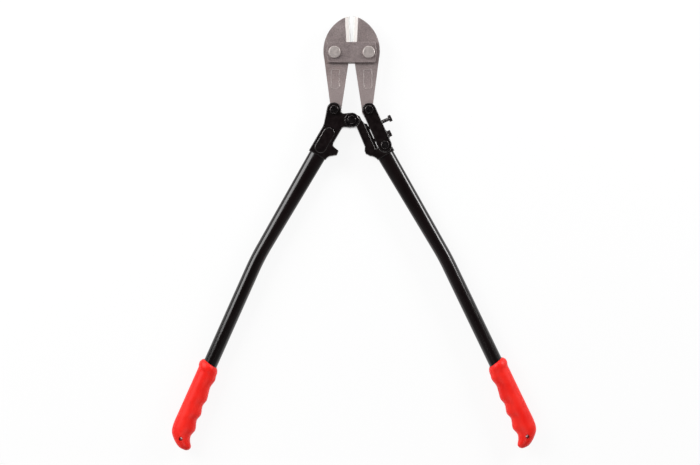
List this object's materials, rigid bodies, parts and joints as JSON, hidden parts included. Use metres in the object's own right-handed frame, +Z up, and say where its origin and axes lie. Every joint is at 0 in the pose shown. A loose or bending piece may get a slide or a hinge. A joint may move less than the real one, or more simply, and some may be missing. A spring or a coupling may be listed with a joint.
{
  "type": "bolt cutters",
  "caption": "Long-handled compound bolt cutters: two jaws tied by link plates, toggle joints to forked handle heads, tubular handles and moulded grips.",
  "frame": {"origin": "bottom centre of the box round the tool as it lies flat", "axes": "+Y towards the jaws, +Z up through the thickness of the jaws, +X to the side of the adjuster"},
  "size_m": [0.7288, 0.869, 0.0411],
  "materials": {
    "jaw_steel": "forged and ground, satin",
    "link_steel": "satin",
    "bolt_steel": "machined satin",
    "black_paint": "gloss black enamel",
    "black_oxide": "black oxide",
    "red_grip": "smooth semi-gloss vinyl"
  },
  "bodies": {
    "centre_pivot": {"centre_bolt": "black_oxide", "centre_front_washer": "black_oxide", "centre_rear_washer": "black_oxide", "centre_nut": "black_oxide"},
    "left_handle": {"left_handle_head": "black_paint", "left_toggle_bolt": "black_oxide", "left_toggle_nut": "black_oxide", "left_tube": "black_paint", "left_grip": "red_grip"},
    "right_handle": {"right_handle_head": "black_paint", "adjuster_pin": "black_oxide", "adjuster_pin_nut": "black_oxide", "right_tube": "black_paint", "right_grip": "red_grip"},
    "adjuster": {"adjuster_arm": "black_paint", "right_toggle_bolt": "black_oxide", "right_toggle_nut": "black_oxide", "lock_screw_washer": "black_oxide"},
    "adjusting_screw": {"adjusting_screw": "black_oxide"},
    "lock_screw": {"lock_screw": "black_oxide"},
    "link": {"front_link_plate": "link_steel", "rear_link_plate": "link_steel", "left_jaw_bolt": "bolt_steel", "right_jaw_bolt": "bolt_steel", "left_jaw_washer": "bolt_steel", "right_jaw_washer": "bolt_steel", "left_jaw_nut": "bolt_steel", "right_jaw_nut": "bolt_steel"},
    "left_jaw": {"left_jaw": "jaw_steel"},
    "right_jaw": {"right_jaw": "jaw_steel"}
  },
  "joints": [
    {"name": "left_handle_swing", "type": "hinge", "parent": "centre_pivot", "child": "left_handle", "pos_m": [-0.0048, 0.2261, 0.0216], "axis": [0, 0, 1], "range_deg": [-20, 22.9]},
    {"name": "right_handle_swing", "type": "hinge", "parent": "centre_pivot", "child": "right_handle", "pos_m": [-0.0048, 0.2261, 0.0216], "axis": [0, 0, 1], "range_deg": [-22.9, 20]},
    {"name": "link_travel", "type": "slide", "parent": "centre_pivot", "child": "link", "axis": [0, 1, 0], "range_m": [-0.0143, 0.0125]},
    {"name": "left_jaw_pivot", "type": "hinge", "parent": "link", "child": "left_jaw", "pos_m": [-0.0389, 0.36107, 0.0216], "axis": [0, 0, 1], "range_deg": [-2.87, 2.51]},
    {"name": "right_jaw_pivot", "type": "hinge", "parent": "link", "child": "right_jaw", "pos_m": [0.0293, 0.36107, 0.0216], "axis": [0, 0, 1], "range_deg": [-2.51, 2.87]},
    {"name": "adjusting_screw_turn", "type": "hinge", "parent": "right_handle", "child": "adjusting_screw", "pos_m": [0.05563, 0.22271, 0.0216], "axis": [0.9121, 0.4099, 0], "range_deg": [-180, 180]},
    {"name": "adjuster_tilt", "type": "hinge", "parent": "right_handle", "child": "adjuster", "pos_m": [0.06155, 0.17636, 0.0216], "axis": [0, 0, 1], "range_deg": [-0.82, 0.82]},
    {"name": "lock_screw_turn", "type": "hinge", "parent": "right_handle", "child": "lock_screw", "pos_m": [0.06678, 0.1979, 0.0216], "axis": [0.9121, 0.4099, 0], "range_deg": [-180, 180]}
  ],
  "couplings": [
    {"joint": "right_handle_swing", "follows": "left_handle_swing", "ratio": -1},
    {"joint": "link_travel", "follows": "left_handle_swing", "m_per_rad": -0.0355},
    {"joint": "left_jaw_pivot", "follows": "left_handle_swing", "ratio": -0.125},
    {"joint": "right_jaw_pivot", "follows": "left_handle_swing", "ratio": 0.125},
    {"joint": "adjuster_tilt", "follows": "adjusting_screw_turn", "ratio": 0.004451}
  ]
}
